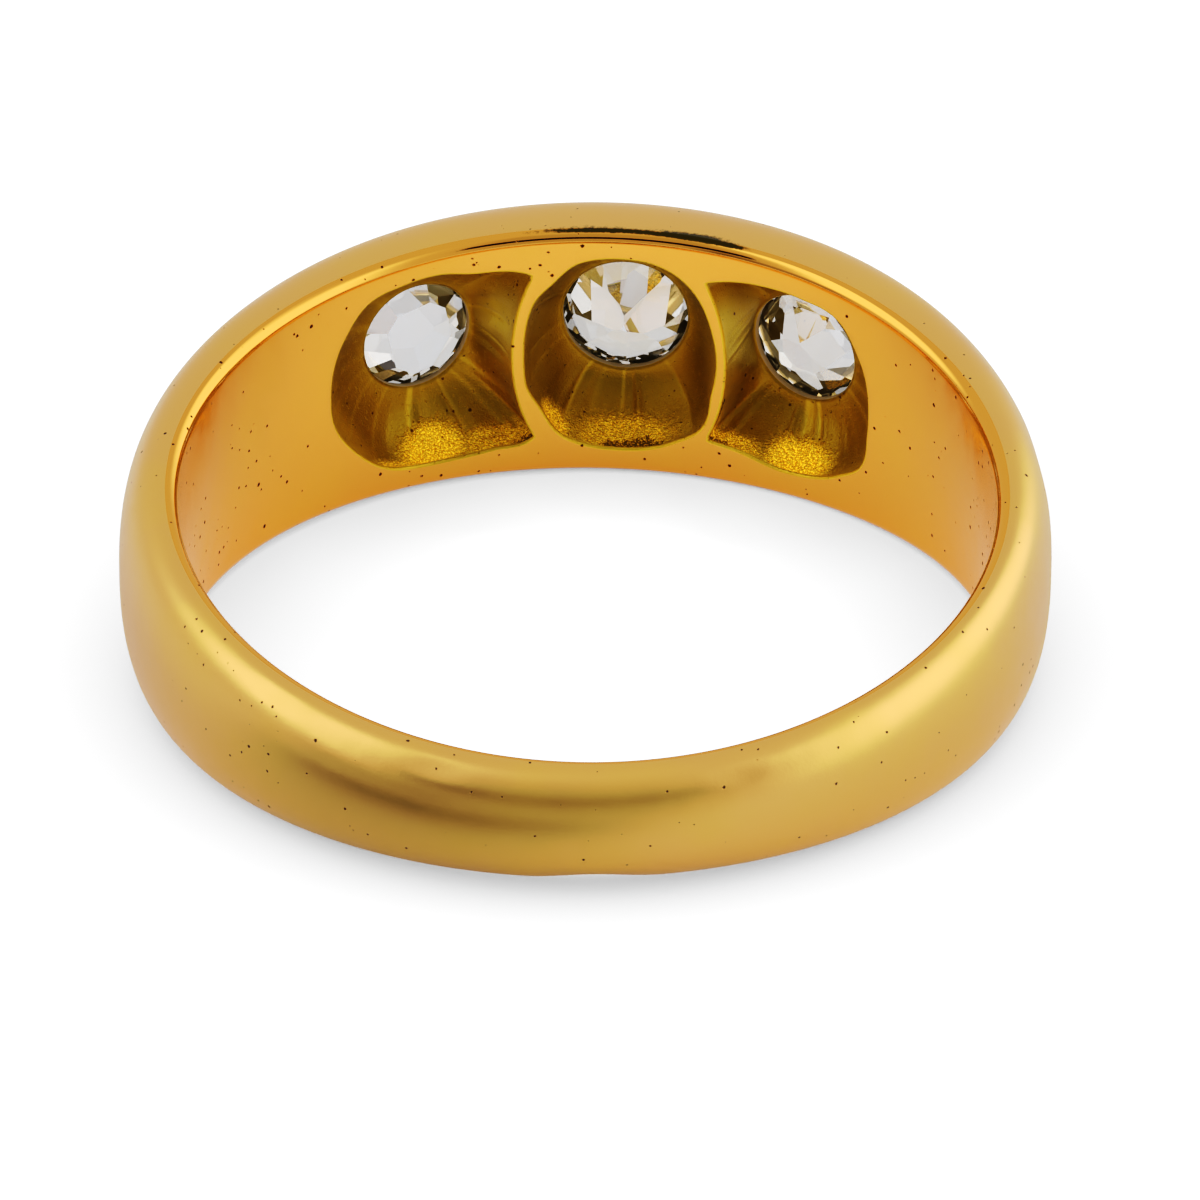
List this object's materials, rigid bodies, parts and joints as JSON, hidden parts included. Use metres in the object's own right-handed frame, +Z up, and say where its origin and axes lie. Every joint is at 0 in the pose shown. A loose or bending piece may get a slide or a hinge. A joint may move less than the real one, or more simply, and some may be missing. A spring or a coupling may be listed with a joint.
{
  "type": "flush set gypsy ring",
  "caption": "Gold finger ring with a wide tapered head and round old cut stones set flush in a row, scooped open behind each stone.",
  "frame": {"origin": "middle of the ring's box on the surface that it lies on", "axes": "+Z up from the surface, +Y towards the head with the stones, +X to the right as the picture shows it"},
  "size_m": [0.0206, 0.0222, 0.0065],
  "materials": {
    "gold": "satin outside with light wear, polished inside the bore, rough cast in the scoops",
    "stone": "polished facets"
  },
  "bodies": {
    "root": {"band": "gold", "centre_stone": "stone", "left_stone": "stone", "right_stone": "stone"}
  },
  "joints": []
}
